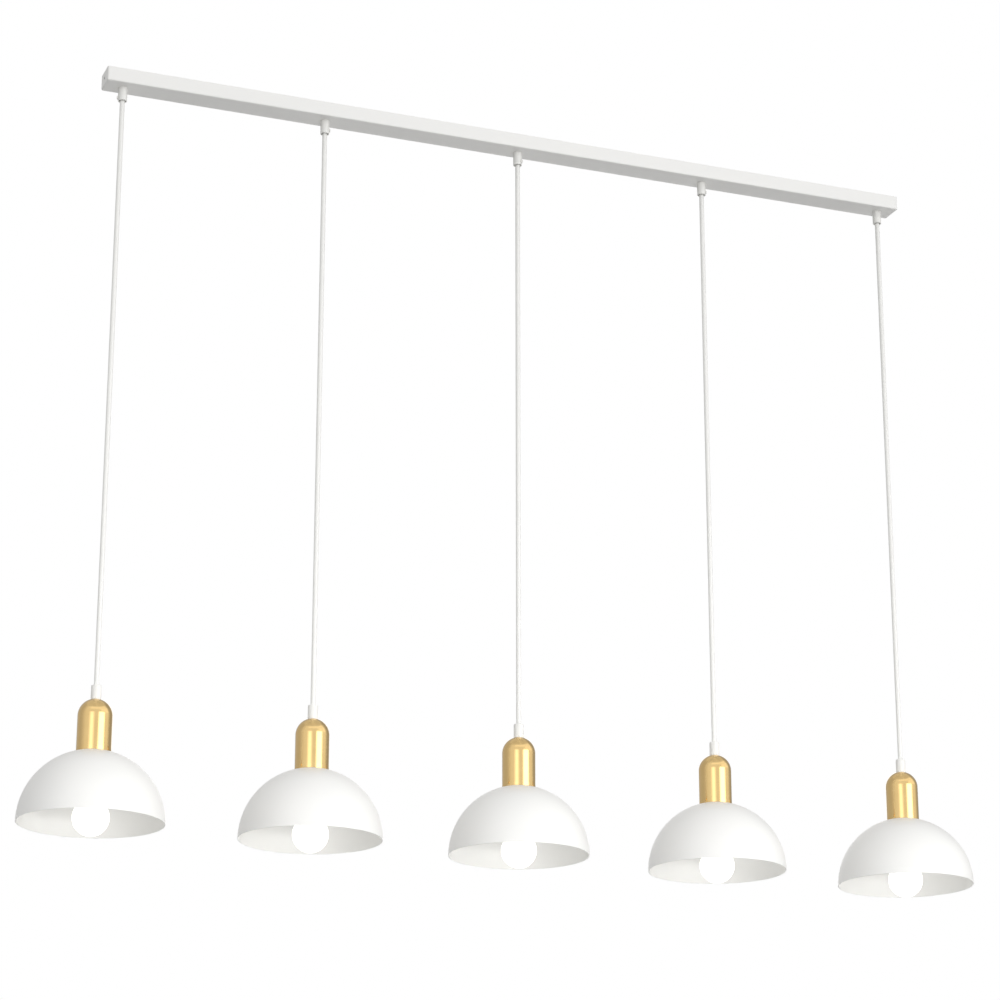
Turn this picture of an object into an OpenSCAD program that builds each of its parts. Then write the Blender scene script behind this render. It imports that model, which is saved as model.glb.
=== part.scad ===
// Bar pendant with five lights, in millimetres, +Z up, with the bar along X.
// The origin is on the ceiling, over the middle of the bar.

/* [Canopy] */
// Length of the bar
canopy_l = 1160; // [1145:1:1400]
// Width of the bar
canopy_w = 36; // [35:0.5:60]
// Height of the bar
canopy_h = 20; // [19.5:0.5:40]
// Sheet thickness of the bar
canopy_wall = 1.2; // [0.8:0.1:1.6]
// Radius of the bar's four upright corners
corner_r = 2.5; // [1.8:0.1:6]
// Bend radius along the bar's lower edges
edge_r = 1.2; // [0.5:0.1:3]

/* [Ceiling bracket] */
// Thickness of the ceiling bracket
bracket_t = 1.5; // [1:0.1:2]
// Width of the ceiling bracket
bracket_w = 28; // [24:0.5:32]
// Width of the tab at each end of the bracket
tab_w = 16; // [12:0.5:24]
// Drop of each tab below the ceiling
tab_h = 15; // [13:0.5:17]
// Depth of the end screws below the ceiling
end_screw_z = 10; // [8:0.5:11]
// Diameter of the end screws
end_screw_d = 4; // [3:0.5:5]
// Length of the end screws
end_screw_l = 6; // [4.5:0.5:10]
// Distance between the two ceiling slots
slot_pitch = 900; // [600:10:1000]
// Width of the ceiling slots
slot_w = 5; // [4:0.5:6]
// Length of the ceiling slots
slot_l = 15; // [8:0.5:30]
// Diameter of the hole for the supply cable
supply_hole_d = 16; // [10:0.5:20]
// Place of that hole along the bar
supply_hole_x = 175; // [160:1:240]

/* [Terminal block] */
// Place of the terminal block along the bar
block_x = 130; // [60:1:140]
// Length of the terminal block along the bar
block_l = 22; // [18:0.5:30]
// Height of the terminal block
block_h = 14; // [13:0.5:15]
// Distance between its poles
pole_pitch = 10; // [9.5:0.1:10.5]
// Outer diameter of its brass clamps
clamp_d = 6.6; // [6.2:0.1:7]
// Bore of its brass clamps
clamp_bore_d = 5.2; // [5:0.1:5.6]
// Depth of the wires below the ceiling
wire_z = 7.2; // [7:0.1:7.6]

/* [Cords] */
// Outer diameter of the round cords
cord_d = 6.4; // [5:0.1:6.5]
// Diameter of one insulated core
core_d = 2; // [1.6:0.1:2]
// Radius of the circle that the three cores stand on
core_ring_r = 1.3; // [1.28:0.01:1.4]

/* [Cord grips] */
// Distance from pendant to pendant
pitch = 277.5; // [240:0.5:281]
// Outer diameter of the cord grips under the bar
grip_d = 12; // [11.5:0.1:16]
// Length of a cord grip below the bar
grip_l = 19; // [16:0.5:30]
// Diameter of the lamp thread
thread_d = 10; // [9.8:0.1:10.4]
// Length of a grip's thread above the bar's underside
grip_thread_l = 5.7; // [5.2:0.1:6.2]
// Width across the flats of the locknuts
nut_flats = 14; // [13:0.5:17]
// Thickness of the locknuts
nut_h = 3; // [2:0.1:3.6]
// Diameter of a grip's open mouth
mouth_d = 9.2; // [8.6:0.1:9.6]
// Depth of a grip's open mouth
mouth_depth = 3; // [2:0.1:3.2]
// Diameter of the clamp screw's head
clamp_head_d = 5; // [4:0.1:6]
// How far that head stands off the grip
clamp_head_h = 1.4; // [0.8:0.1:3]
// Diameter of the clamp screw's shank
clamp_screw_d = 3.4; // [2.5:0.1:3.4]
// Height of the clamp screw above the mouth
clamp_screw_up = 5.1; // [5.1:0.1:9]
// Ball at the top of each hanging cord, on which it swings
bend_d = 6; // [5:0.1:6.2]

/* [Ferrules and caps] */
// Outer diameter of the ferrules on the caps
ferrule_d = 12.8; // [12:0.1:16]
// Length of a ferrule
ferrule_l = 18; // [17.5:0.1:30]
// How deep the cord stands in a ferrule
ferrule_hold = 12; // [12:0.1:12.6]
// Diameter of the bullet caps
cap_d = 42.8; // [30:0.1:60]
// Height of a cap from the shade to its top
cap_l = 67; // [66:0.1:69]
// Sheet thickness of a cap
cap_wall = 1; // [0.6:0.1:2]

/* [Shades] */
// Diameter of the shades
shade_d = 180; // [176:0.5:182]
// Sheet thickness of the shades
shade_wall = 1; // [0.6:0.1:2]
// Distance from the ceiling to the rims
drop = 998; // [996:0.5:1000]

/* [Lampholders] */
// Outer diameter of the lampholder
holder_d = 39; // [36:0.5:44]
// Height of the lampholder
holder_l = 54.3; // [52:0.1:58]
// Depth of the stem's thread in the lampholder
stem_hold = 8; // [6:0.5:9]
// Wall of the threaded sleeve
sleeve_t = 0.4; // [0.3:0.05:0.6]
// Distance of the lampholder's terminals from its axis
post_off = 7.5; // [7.3:0.1:9]

/* [Bulbs] */
// Diameter of the globe
bulb_d = 45; // [40:0.5:50]
// How far the globe reaches below the rim
bulb_below_rim = 15.5; // [13:0.5:16]
// Overall length of the bulb
bulb_l = 78; // [77:0.1:79]
// Radius of the curve from the globe to its neck
bulb_neck_curve = 8; // [5:0.5:10]
// Thickness of the glass
glass_t = 0.8; // [0.5:0.1:1.5]
// Crest diameter of the bulb's thread
bulb_thread_d = 26.2; // [25.6:0.1:26.6]
// Pitch of the bulb's thread
bulb_thread_pitch = 3.63; // [3.4:0.01:3.8]
// Depth of the bulb's thread
bulb_thread_h = 0.9; // [0.5:0.1:1.2]

/* [Hidden] */
$fn = 64;
PENDANTS = [1:5];
PARTS = ["cord_bend_", "cord_", "ferrule_", "cap_", "stem_", "shade_",
    "holder_", "holder_contacts_", "bulb_globe_", "bulb_base_"];
FIXED = ["canopy", "ceiling_bracket", "end_screws", "terminal_block", "terminal_clamps",
    "inner_wires", "cord_grips", "clamp_screws", "locknuts", "cord_tails"];

// Clearances
slack = 0.3;        // between pieces that only lie next to each other
thread_gap = 0.03;  // radial, in every thread
hole_gap = 0.2;     // radial, round a thread in sheet metal
cord_gap = 0.15;    // radial, round a held cord
seat_gap = 0.05;    // between curved seats

// Colours
white = [0.93, 0.93, 0.91];
zinc = [0.72, 0.73, 0.75];
brass = [0.85, 0.68, 0.38];
opal = [0.98, 0.98, 0.95];
core_colours = ["saddlebrown", "royalblue", "yellowgreen"];

// Levels and radii at the bar
canopy_in_l = canopy_l - 2 * canopy_wall;
canopy_in_w = canopy_w - 2 * canopy_wall;
floor_z = -canopy_h + canopy_wall;
bracket_l = canopy_in_l - 2 * slack;
cord_r = cord_d / 2;
core_r = core_d / 2;
grip_r = grip_d / 2;
thread_r = thread_d / 2;
mouth_r = mouth_d / 2;
mouth_z = -canopy_h - grip_l;
grip_top_z = -canopy_h + grip_thread_l;
grip_edge = 0.8;
tail_top_z = grip_top_z - 2.7;
tail_end_z = mouth_z + bend_d / 2 + slack;
clamp_screw_z = mouth_z + clamp_screw_up;
clamp_angles = [160, -20, -50, -20, 205];

// Terminal block
lane_z = -wire_z;
poles = [-1, 0, 1];
clamp_l = block_l - 4;
wire_hold = 6;
clamp_bolt_d = 3;
clamp_bolt_head_d = 4.4;
clamp_bolt_head_h = 2;
clamp_bolt_off = 5.5;
peg_d = 2.8;
peg_h = 1.2;

// Wires inside the bar, from each cord to the block
core_turns = [-120, 0, 120];
core_lanes = [90, 210, 330, 330, 210];
core_bend_r = 3;
core_sides = 8;
fan_l = 24;
climb_l = 20;

// Route of a cord: distance from the pendant's axis, then height
cord_route = [
    [0, -42.3], [0, -95], [0, -150], [0, -205], [0, -260], [0, -315], [0, -370], [0, -425],
    [0, -480], [0, -535], [0, -590], [0, -645], [0, -700], [0, -755], [0, -810], [0, -838.5]];
cord_sides = 12;
cord_end_z = cord_route[len(cord_route) - 1][1];

// Levels and radii of a pendant
rim_z = -drop;
shade_r = shade_d / 2;
shade_in_r = shade_r - shade_wall;
cap_r = cap_d / 2;
cap_seat_z = rim_z + sqrt(pow(shade_r, 2) - pow(cap_r, 2));
dome_z = cap_seat_z + cap_l - cap_r;
ferrule_r = ferrule_d / 2;
ferrule_base_z = dome_z + sqrt(pow(cap_r, 2) - pow(ferrule_r, 2));
ferrule_top_z = ferrule_base_z + ferrule_l;
ferrule_web_z = ferrule_top_z - ferrule_hold;
ferrule_web_t = 1.5;
stem_top_z = ferrule_web_z - ferrule_web_t;
stem_wall = 1.5;
holder_r = holder_d / 2;
boss_r = 7;
holder_top_z = rim_z + sqrt(pow(shade_in_r, 2) - pow(boss_r, 2)) - seat_gap;
holder_mouth_z = holder_top_z - holder_l;
stem_end_z = holder_top_z - stem_hold;

// Bulb and socket
bulb_r = bulb_d / 2;
bulb_z = rim_z - bulb_below_rim + bulb_r;
bulb_tip_z = rim_z - bulb_below_rim + bulb_l;
bulb_thread_r = (bulb_thread_d - bulb_thread_h) / 2;
thread_top_z = bulb_tip_z - 5;
thread_end_z = bulb_tip_z - 23;
base_end_z = bulb_tip_z - 26;
base_skirt_r = bulb_thread_d / 2;
neck_r = base_skirt_r - 0.7;
tip_r = 4.5;
thread_play = 0.3;
sleeve_r = bulb_thread_r + thread_play;
socket_r = sleeve_r + bulb_thread_h / 2 + sleeve_t + 0.1;
socket_roof_z = bulb_tip_z + 2.5;
socket_web_t = 3.5;
contact_t = 0.5;
contact_w = 5;
rivet_r = 1.2;
post_foot_z = socket_roof_z + socket_web_t;
post_top_z = post_foot_z + 5.5;
post_w = 6;
post_l = 5;
post_hole_depth = 3.5;
live = 0;
neutral = 120;
earth = -120;

function pendant_x(i) = (i - 3) * pitch;

// Small helpers

module ring(r_out, r_in, z_low, z_high) {
    rotate_extrude() translate([r_in, z_low]) square([r_out - r_in, z_high - z_low]);
}

module rounded_plan(l, w, r) {
    square([l - 2 * r, w], center = true);
    square([l, w - 2 * r], center = true);
    for (x = [-1, 1], y = [-1, 1]) translate([x * (l / 2 - r), y * (w / 2 - r)]) circle(r);
}

module slot_plan(l, w) {
    square([l - w, w], center = true);
    for (x = [-1, 1]) translate([x * (l - w) / 2, 0]) circle(d = w);
}

module sheet_profile(w, h, r) {
    translate([-w / 2, r - h]) square([w, h - r]);
    translate([r - w / 2, -h]) square([w - 2 * r, h]);
    for (x = [-1, 1]) translate([x * (w / 2 - r), r - h]) circle(r);
}

module at_pendants() {
    for (i = PENDANTS) translate([pendant_x(i), 0, 0]) children();
}

// A tube swept along points, closed at both ends
function unit(v) = v / norm(v);
function along(p, i) = unit(p[min(i + 1, len(p) - 1)] - p[max(i - 1, 0)]);
function beside(t) = unit([0, 1, 0] - t[1] * t);
function ring_points(p, i, r, n) =
    let (t = along(p, i), a = beside(t), b = cross(t, a))
    [for (j = [0:n - 1]) p[i] + r * (cos(360 * j / n) * a + sin(360 * j / n) * b)];
function side_faces(i, n) = [for (j = [0:n - 1], half = [0, 1])
    let (a = i * n + j, b = i * n + (j + 1) % n)
    half == 0 ? [a, a + n, b + n] : [a, b + n, b]];
function fan_faces(start, n, flip) = [for (j = [1:n - 2])
    flip ? [start, start + j + 1, start + j] : [start, start + j, start + j + 1]];

module tube(p, r, n) {
    rings = len(p);
    points = [for (i = [0:rings - 1]) each ring_points(p, i, r, n)];
    sides = [for (i = [0:rings - 2]) each side_faces(i, n)];
    ends = concat(fan_faces(0, n, false), fan_faces((rings - 1) * n, n, true));
    polyhedron(points, concat(sides, ends));
}

// Canopy and its fixing

module canopy() {
    color(white) difference() {
        intersection() {
            translate([0, 0, -canopy_h]) linear_extrude(canopy_h)
                rounded_plan(canopy_l, canopy_w, corner_r);
            rotate([90, 0, 90]) linear_extrude(canopy_l, center = true)
                sheet_profile(canopy_w, canopy_h, edge_r);
            rotate([90, 0, 0]) linear_extrude(canopy_w, center = true)
                sheet_profile(canopy_l, canopy_h, edge_r);
        }
        translate([0, 0, floor_z]) linear_extrude(canopy_h)
            rounded_plan(canopy_in_l, canopy_in_w, corner_r - canopy_wall);
        at_pendants() translate([0, 0, -canopy_h - 1])
            cylinder(r = thread_r + hole_gap, h = canopy_wall + 2);
        translate([0, 0, -end_screw_z]) rotate([0, 90, 0])
            cylinder(d = end_screw_d + 2 * hole_gap, h = canopy_l + 2, center = true);
    }
}

module ceiling_bracket() {
    color(zinc) difference() {
        union() {
            translate([0, 0, -bracket_t / 2])
                cube([bracket_l, bracket_w, bracket_t], center = true);
            for (x = [-1, 1]) translate([x * (bracket_l - bracket_t) / 2, 0, -tab_h / 2])
                cube([bracket_t, tab_w, tab_h], center = true);
        }
        for (x = [-1, 1]) translate([x * slot_pitch / 2, 0, -bracket_t - 1])
            linear_extrude(bracket_t + 2) slot_plan(slot_l, slot_w);
        translate([supply_hole_x, 0, -bracket_t - 1]) cylinder(d = supply_hole_d, h = bracket_t + 2);
        for (y = [-1, 1]) translate([block_x, y * pole_pitch / 2, -bracket_t - 1])
            cylinder(d = peg_d + 2 * hole_gap, h = bracket_t + 2);
        translate([0, 0, -end_screw_z]) rotate([0, 90, 0])
            cylinder(d = end_screw_d + 2 * thread_gap, h = bracket_l + 2, center = true);
    }
}

module end_screws() {
    socket_flats = end_screw_d / 2;
    color(zinc) for (side = [0, 180]) rotate([0, 0, side])
        translate([canopy_l / 2 - slack, 0, -end_screw_z]) rotate([0, -90, 0]) difference() {
            cylinder(d = end_screw_d, h = end_screw_l);
            translate([0, 0, -1]) cylinder(d = socket_flats / cos(30), h = 1 + end_screw_l / 3, $fn = 6);
        }
}

// Terminal block and wires

module terminal_block() {
    block_w = len(poles) * pole_pitch;
    block_z = -bracket_t - block_h;
    color("ivory") difference() {
        union() {
            translate([block_x, 0, block_z + block_h / 2])
                cube([block_l, block_w, block_h], center = true);
            for (y = [-1, 1]) translate([block_x, y * pole_pitch / 2, -bracket_t - 1])
                cylinder(d = peg_d, h = peg_h + 1);
        }
        for (n = poles) translate([block_x, n * pole_pitch, 0]) {
            translate([0, 0, lane_z]) rotate([0, 90, 0])
                cylinder(d = clamp_d + 2 * seat_gap, h = block_l + 2, center = true);
            for (x = [-1, 1]) translate([x * clamp_bolt_off, 0, block_z - 1])
                cylinder(d = clamp_bolt_head_d + 2 * hole_gap, h = lane_z - block_z + 1);
        }
    }
}

module terminal_clamps() {
    tip_z = lane_z - core_ring_r / 2 - core_r - seat_gap;
    head_z = -bracket_t - block_h + clamp_bolt_head_h + 1;
    color(brass) for (n = poles) translate([block_x, n * pole_pitch, 0]) {
        difference() {
            translate([0, 0, lane_z]) rotate([0, 90, 0])
                cylinder(d = clamp_d, h = clamp_l, center = true);
            translate([0, 0, lane_z]) rotate([0, 90, 0])
                cylinder(d = clamp_bore_d, h = clamp_l + 2, center = true);
            for (x = [-1, 1]) translate([x * clamp_bolt_off, 0, lane_z - clamp_d])
                cylinder(d = clamp_bolt_d + 2 * seat_gap, h = clamp_d);
        }
        for (x = [-1, 1]) translate([x * clamp_bolt_off, 0, 0]) difference() {
            union() {
                translate([0, 0, head_z]) cylinder(d = clamp_bolt_d, h = tip_z - head_z);
                translate([0, 0, head_z - clamp_bolt_head_h])
                    cylinder(d = clamp_bolt_head_d, h = clamp_bolt_head_h);
            }
            translate([0, 0, head_z - clamp_bolt_head_h])
                cube([clamp_bolt_head_d + 1, 0.8, 1.6], center = true);
        }
    }
}

// The path of one core, in the pendant's own frame: up, over, out to its lane and up to its level
function core_path(i, pole) =
    let (
        side = pendant_x(i) < block_x ? 1 : -1,
        start = core_ring_r * [cos(core_turns[pole]), sin(core_turns[pole])],
        lane = [
            poles[pole] * pole_pitch + core_ring_r * cos(core_lanes[i - 1]),
            lane_z + core_ring_r * sin(core_lanes[i - 1])],
        turn = atan2(lane[0] - start[1], fan_l - start[0]),
        low_z = grip_top_z + core_bend_r,
        reach = abs(block_x - pendant_x(i)) - clamp_l / 2 + wire_hold)
    [for (p = concat(
        [[start[0], start[1], tail_top_z], [start[0], start[1], grip_top_z]],
        [for (a = [30, 60, 90]) [
            start[0] + core_bend_r * (1 - cos(a)) * cos(turn),
            start[1] + core_bend_r * (1 - cos(a)) * sin(turn),
            grip_top_z + core_bend_r * sin(a)]],
        [for (t = [0, 0.25, 0.5, 0.75, 1]) [
            fan_l + t * climb_l, lane[0], low_z + t * t * (3 - 2 * t) * (lane[1] - low_z)]],
        [[reach, lane[0], lane[1]]]))
        [pendant_x(i) + side * p[0], p[1], p[2]]];

module inner_wires() {
    for (pole = [0:len(poles) - 1]) color(core_colours[pole])
        for (i = PENDANTS) tube(core_path(i, pole), core_r, core_sides);
}

// Cord grips under the bar

module cord_grips() {
    bore_r = cord_r + cord_gap;
    color(white) for (i = PENDANTS) translate([pendant_x(i), 0, 0]) difference() {
        rotate_extrude() polygon([
            [bore_r, grip_top_z], [thread_r - 0.5, grip_top_z], [thread_r, grip_top_z - 0.5],
            [thread_r, -canopy_h], [grip_r, -canopy_h], [grip_r, mouth_z + grip_edge],
            [grip_r - grip_edge, mouth_z], [mouth_r, mouth_z], [mouth_r, mouth_z + mouth_depth],
            [bore_r, mouth_z + mouth_depth + (mouth_r - bore_r) / 2]]);
        rotate([0, 0, clamp_angles[i - 1]]) translate([0, 0, clamp_screw_z]) rotate([0, 90, 0])
            cylinder(d = clamp_screw_d + 2 * seat_gap, h = grip_r + 1);
    }
}

module clamp_screws() {
    head_x = grip_r + seat_gap;
    color(white) for (i = PENDANTS) translate([pendant_x(i), 0, clamp_screw_z])
        rotate([0, 0, clamp_angles[i - 1]]) rotate([0, 90, 0]) difference() {
            union() {
                translate([0, 0, cord_r + seat_gap])
                    cylinder(d = clamp_screw_d, h = head_x - cord_r);
                translate([0, 0, head_x]) cylinder(d = clamp_head_d, h = clamp_head_h);
            }
            translate([0, 0, head_x + clamp_head_h]) cube([0.8, clamp_head_d + 1, 1.2], center = true);
        }
}

module locknuts() {
    color(zinc) at_pendants() translate([0, 0, floor_z]) difference() {
        cylinder(d = nut_flats / cos(30), h = nut_h, $fn = 6);
        translate([0, 0, -1]) cylinder(r = thread_r + thread_gap, h = nut_h + 2);
    }
}

module cord_tails() {
    color(white) at_pendants() translate([0, 0, tail_end_z])
        cylinder(r = cord_r, h = tail_top_z - tail_end_z);
}

// The hanging cord

module cord_bend() {
    color(white) translate([0, 0, mouth_z]) sphere(d = bend_d);
}

// Below its sheath the cord goes on as three cores, down the stem and out to the terminals
function low_core_path() =
    let (
        swing_top_z = stem_end_z + 1,
        swing_l = swing_top_z - post_top_z - 1,
        last_z = post_top_z - post_hole_depth + slack)
    concat(
        [[core_ring_r, 0, cord_end_z], [core_ring_r, 0, swing_top_z]],
        [for (t = [0.2, 0.35, 0.5, 0.65, 0.8, 1])
            let (swing = t * t * (3 - 2 * t))
            [core_ring_r + swing * (post_off - core_ring_r), 0, swing_top_z - t * swing_l]],
        [[post_off, 0, last_z]]);

module cord() {
    color(white) tube([for (p = cord_route) [p[0], 0, p[1]]], cord_r, cord_sides);
    for (pole = [0:len(poles) - 1]) color(core_colours[pole]) rotate([0, 0, core_turns[pole]])
        tube(low_core_path(), core_r, core_sides);
}

// One pendant, on its own axis

module ferrule() {
    bore_r = cord_r + cord_gap;
    color(white) difference() {
        rotate_extrude() polygon([
            [0, ferrule_web_z], [bore_r, ferrule_web_z], [bore_r, ferrule_top_z],
            [ferrule_r - grip_edge, ferrule_top_z], [ferrule_r, ferrule_top_z - grip_edge],
            [ferrule_r, ferrule_base_z - 1], [thread_r + thread_gap, ferrule_base_z - 1],
            [thread_r + thread_gap, stem_top_z], [0, stem_top_z]]);
        translate([0, 0, dome_z]) sphere(r = cap_r + seat_gap);
        translate([0, 0, stem_top_z - 1])
            cylinder(r = core_ring_r + core_r + hole_gap, h = ferrule_web_t + 2);
    }
}

module cap() {
    color(brass) difference() {
        rotate_extrude() difference() {
            union() {
                intersection() {
                    translate([0, dome_z]) circle(r = cap_r);
                    translate([thread_r + hole_gap, dome_z]) square(cap_r);
                }
                translate([thread_r + hole_gap, cap_seat_z - shade_r])
                    square([cap_r - thread_r - hole_gap, dome_z - cap_seat_z + shade_r]);
            }
            translate([0, dome_z]) circle(r = cap_r - cap_wall);
            translate([0, cap_seat_z - shade_r - 1])
                square([cap_r - cap_wall, dome_z - cap_seat_z + shade_r + 1]);
            translate([0, rim_z]) circle(r = shade_r + seat_gap);
            translate([0, rim_z - shade_r - 1]) square([cap_r + 1, shade_r + 1]);
        }
    }
}

module stem() {
    color(zinc) ring(thread_r, thread_r - stem_wall, stem_end_z, stem_top_z);
}

module shade() {
    color(white) translate([0, 0, rim_z]) rotate_extrude() intersection() {
        difference() {
            circle(r = shade_r);
            circle(r = shade_in_r);
        }
        translate([thread_r + hole_gap, 0]) square(shade_r);
    }
}

module holder() {
    skirt_z = holder_mouth_z + 7;
    skirt_in = 1.8;
    chamber_r = holder_r - 4;
    shoulder_z = holder_top_z - 11.5;
    bore_r = thread_r + thread_gap;
    color("whitesmoke") difference() {
        rotate_extrude() polygon([
            [bore_r, holder_top_z], [boss_r, holder_top_z], [boss_r, holder_top_z - 2.5],
            [boss_r + 5, holder_top_z - 4], [holder_r, shoulder_z],
            [holder_r, skirt_z], [holder_r - skirt_in, skirt_z - 2],
            [holder_r - skirt_in, holder_mouth_z + 0.8], [holder_r - skirt_in - 0.8, holder_mouth_z],
            [socket_r, holder_mouth_z], [socket_r, socket_roof_z], [0, socket_roof_z],
            [0, post_foot_z], [chamber_r, post_foot_z], [chamber_r, shoulder_z - 1.5],
            [bore_r, stem_end_z - 0.5]]);
        for (turn = core_turns) rotate([0, 0, turn]) translate([post_off, 0, socket_roof_z - 1])
            cylinder(r = rivet_r + seat_gap, h = socket_web_t + 2);
    }
}

// Rings of a lamp thread as a wave round a middle radius
function wave(r, low, high) = let (steps = ceil((high - low) / bulb_thread_pitch * 8)) [
    for (j = [0:steps])
    let (z = low + (high - low) * j / steps)
    [r - bulb_thread_h / 2 * cos(360 * (z - low) / bulb_thread_pitch), z]];
function backwards(list) = [for (j = [len(list) - 1:-1:0]) list[j]];

// A terminal on the floor of the chamber, with its rivet through the floor and its side screw
module post() {
    screw_head_r = 1.8;
    screw_head_h = 1.2;
    screw_z = post_top_z - screw_head_r;
    difference() {
        union() {
            translate([post_off, 0, (post_foot_z + post_top_z) / 2])
                cube([post_l, post_w, post_top_z - post_foot_z], center = true);
            translate([post_off, 0, socket_roof_z]) cylinder(r = rivet_r, h = socket_web_t + 1);
        }
        translate([post_off, 0, post_top_z - post_hole_depth])
            cylinder(r = core_r + hole_gap, h = post_hole_depth + 1);
        translate([post_off, 0, screw_z]) rotate([0, 90, 0]) cylinder(r = rivet_r + seat_gap, h = post_l);
    }
    translate([post_off + core_r + seat_gap, 0, screw_z]) rotate([0, 90, 0])
        cylinder(r = rivet_r, h = post_l / 2 - core_r);
    translate([post_off + post_l / 2 + seat_gap, 0, screw_z]) rotate([0, 90, 0])
        cylinder(r = screw_head_r, h = screw_head_h);
}

module holder_contacts() {
    strip_z = bulb_tip_z + slack;
    leg_r = post_off + rivet_r + contact_t;
    lug_r = sleeve_r - bulb_thread_h / 2 + sleeve_t;
    half_w = contact_w / 2;
    color(brass) {
        for (turn = core_turns) rotate([0, 0, turn]) post();
        rotate([0, 0, live]) {
            translate([-half_w, -half_w, strip_z]) cube([leg_r + half_w, contact_w, contact_t]);
            translate([leg_r - contact_t, -half_w, strip_z])
                cube([contact_t, contact_w, socket_roof_z - strip_z]);
            translate([post_off - 2 * rivet_r, -half_w, socket_roof_z - contact_t])
                cube([leg_r - post_off + 2 * rivet_r, contact_w, contact_t]);
        }
        rotate_extrude() polygon(concat(
            wave(sleeve_r, thread_end_z, thread_top_z),
            backwards(wave(sleeve_r + sleeve_t, thread_end_z, thread_top_z))));
        rotate([0, 0, neutral]) {
            translate([lug_r - sleeve_t, -half_w, thread_top_z - slack / 2])
                cube([sleeve_t, contact_w, socket_roof_z - thread_top_z + slack / 2]);
            translate([post_off - 2 * rivet_r, -half_w, socket_roof_z - contact_t])
                cube([lug_r - post_off + 2 * rivet_r, contact_w, contact_t]);
        }
        rotate([0, 0, earth]) {
            leaf_x = thread_r - 2;
            leaf_y = core_r + 2 * slack;
            leaf_w = contact_w / 3;
            translate([leaf_x, leaf_y, post_top_z - 1])
                cube([contact_t, leaf_w, stem_end_z - seat_gap - post_top_z + 1]);
            translate([leaf_x, leaf_y, post_top_z - 1])
                cube([post_off - leaf_x, post_w / 2 - leaf_y, contact_t]);
        }
    }
}

// Half outline of the globe and its neck, out by the amount that the glass is thick
module glass_outline(grow) {
    curve_x = neck_r + bulb_neck_curve;
    curve_z = sqrt(pow(bulb_r + bulb_neck_curve, 2) - pow(curve_x, 2));
    translate([0, bulb_z]) difference() {
        union() {
            intersection() {
                circle(r = bulb_r + grow);
                translate([0, -bulb_d]) square(2 * bulb_d);
            }
            square([neck_r + grow, base_end_z - bulb_z]);
            polygon([[0, 0], [curve_x, curve_z], [0, curve_z]]);
        }
        translate([curve_x, curve_z]) circle(r = bulb_neck_curve - grow);
    }
}

module bulb_globe() {
    color(opal) rotate_extrude() difference() {
        glass_outline(0);
        glass_outline(-glass_t);
    }
}

module bulb_base() {
    color(zinc) rotate_extrude() polygon(concat(
        [[0, base_end_z], [base_skirt_r, base_end_z], [base_skirt_r, thread_end_z - 1]],
        wave(bulb_thread_r, thread_end_z, thread_top_z),
        [[tip_r + 2, bulb_tip_z - 2.5], [tip_r, bulb_tip_z - 2], [tip_r, bulb_tip_z - 0.8],
        [tip_r - 1.5, bulb_tip_z], [0, bulb_tip_z]]));
}

canopy();
ceiling_bracket();
end_screws();
terminal_block();
terminal_clamps();
inner_wires();
cord_grips();
clamp_screws();
locknuts();
cord_tails();
for (i = PENDANTS) translate([pendant_x(i), 0, 0]) {
    cord_bend();
    cord();
    ferrule();
    cap();
    stem();
    shade();
    holder();
    holder_contacts();
    bulb_globe();
    bulb_base();
}
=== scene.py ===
"""Looks of a white bar pendant: five cords, each with a polished brass cap and a white dome shade.

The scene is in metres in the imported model's own frame: +Z up, the bar along X, and the origin on
the ceiling over the middle of the bar. Pieces are drawn in millimetres, and their meshes are
scaled to metres when they are finished.
"""

import math

import bmesh
import bpy
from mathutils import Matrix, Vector


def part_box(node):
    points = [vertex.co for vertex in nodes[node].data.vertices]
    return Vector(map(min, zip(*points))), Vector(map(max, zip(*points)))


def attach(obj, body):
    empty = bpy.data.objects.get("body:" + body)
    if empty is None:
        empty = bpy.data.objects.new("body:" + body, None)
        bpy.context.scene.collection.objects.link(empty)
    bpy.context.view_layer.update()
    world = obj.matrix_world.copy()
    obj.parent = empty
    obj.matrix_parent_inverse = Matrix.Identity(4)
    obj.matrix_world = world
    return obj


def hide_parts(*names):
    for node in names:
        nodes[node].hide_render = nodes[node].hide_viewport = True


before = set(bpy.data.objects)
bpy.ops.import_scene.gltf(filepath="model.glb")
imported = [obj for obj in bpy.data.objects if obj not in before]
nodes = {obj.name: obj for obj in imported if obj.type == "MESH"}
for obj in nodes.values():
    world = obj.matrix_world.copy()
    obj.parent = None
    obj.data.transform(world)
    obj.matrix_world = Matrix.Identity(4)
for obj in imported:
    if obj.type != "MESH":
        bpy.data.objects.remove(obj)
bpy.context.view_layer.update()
MM = 0.001
PENDANTS = (1, 2, 3, 4, 5)


# Camera, at the photograph's place and angle

CAMERA_RISE = 18.158
CAMERA_TURN = -21.0986
camera_data = bpy.data.cameras.new("photograph")
camera_data.sensor_width = 36.0
camera_data.lens = 105.31
camera_data.clip_start = 0.05
camera_data.clip_end = 100.0
camera = bpy.data.objects.new("photograph", camera_data)
camera.location = (-1.34414, -3.41685, -1.72627)
camera.rotation_euler = (math.radians(90 + CAMERA_RISE), 0.0, math.radians(CAMERA_TURN))
bpy.context.scene.collection.objects.link(camera)
bpy.context.scene.camera = camera


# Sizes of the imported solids, in millimetres

def low_high(node):
    """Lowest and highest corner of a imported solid, in millimetres."""
    low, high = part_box(node)
    return low / MM, high / MM


def middle_x(node):
    low, high = low_high(node)
    return (low.x + high.x) / 2


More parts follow.
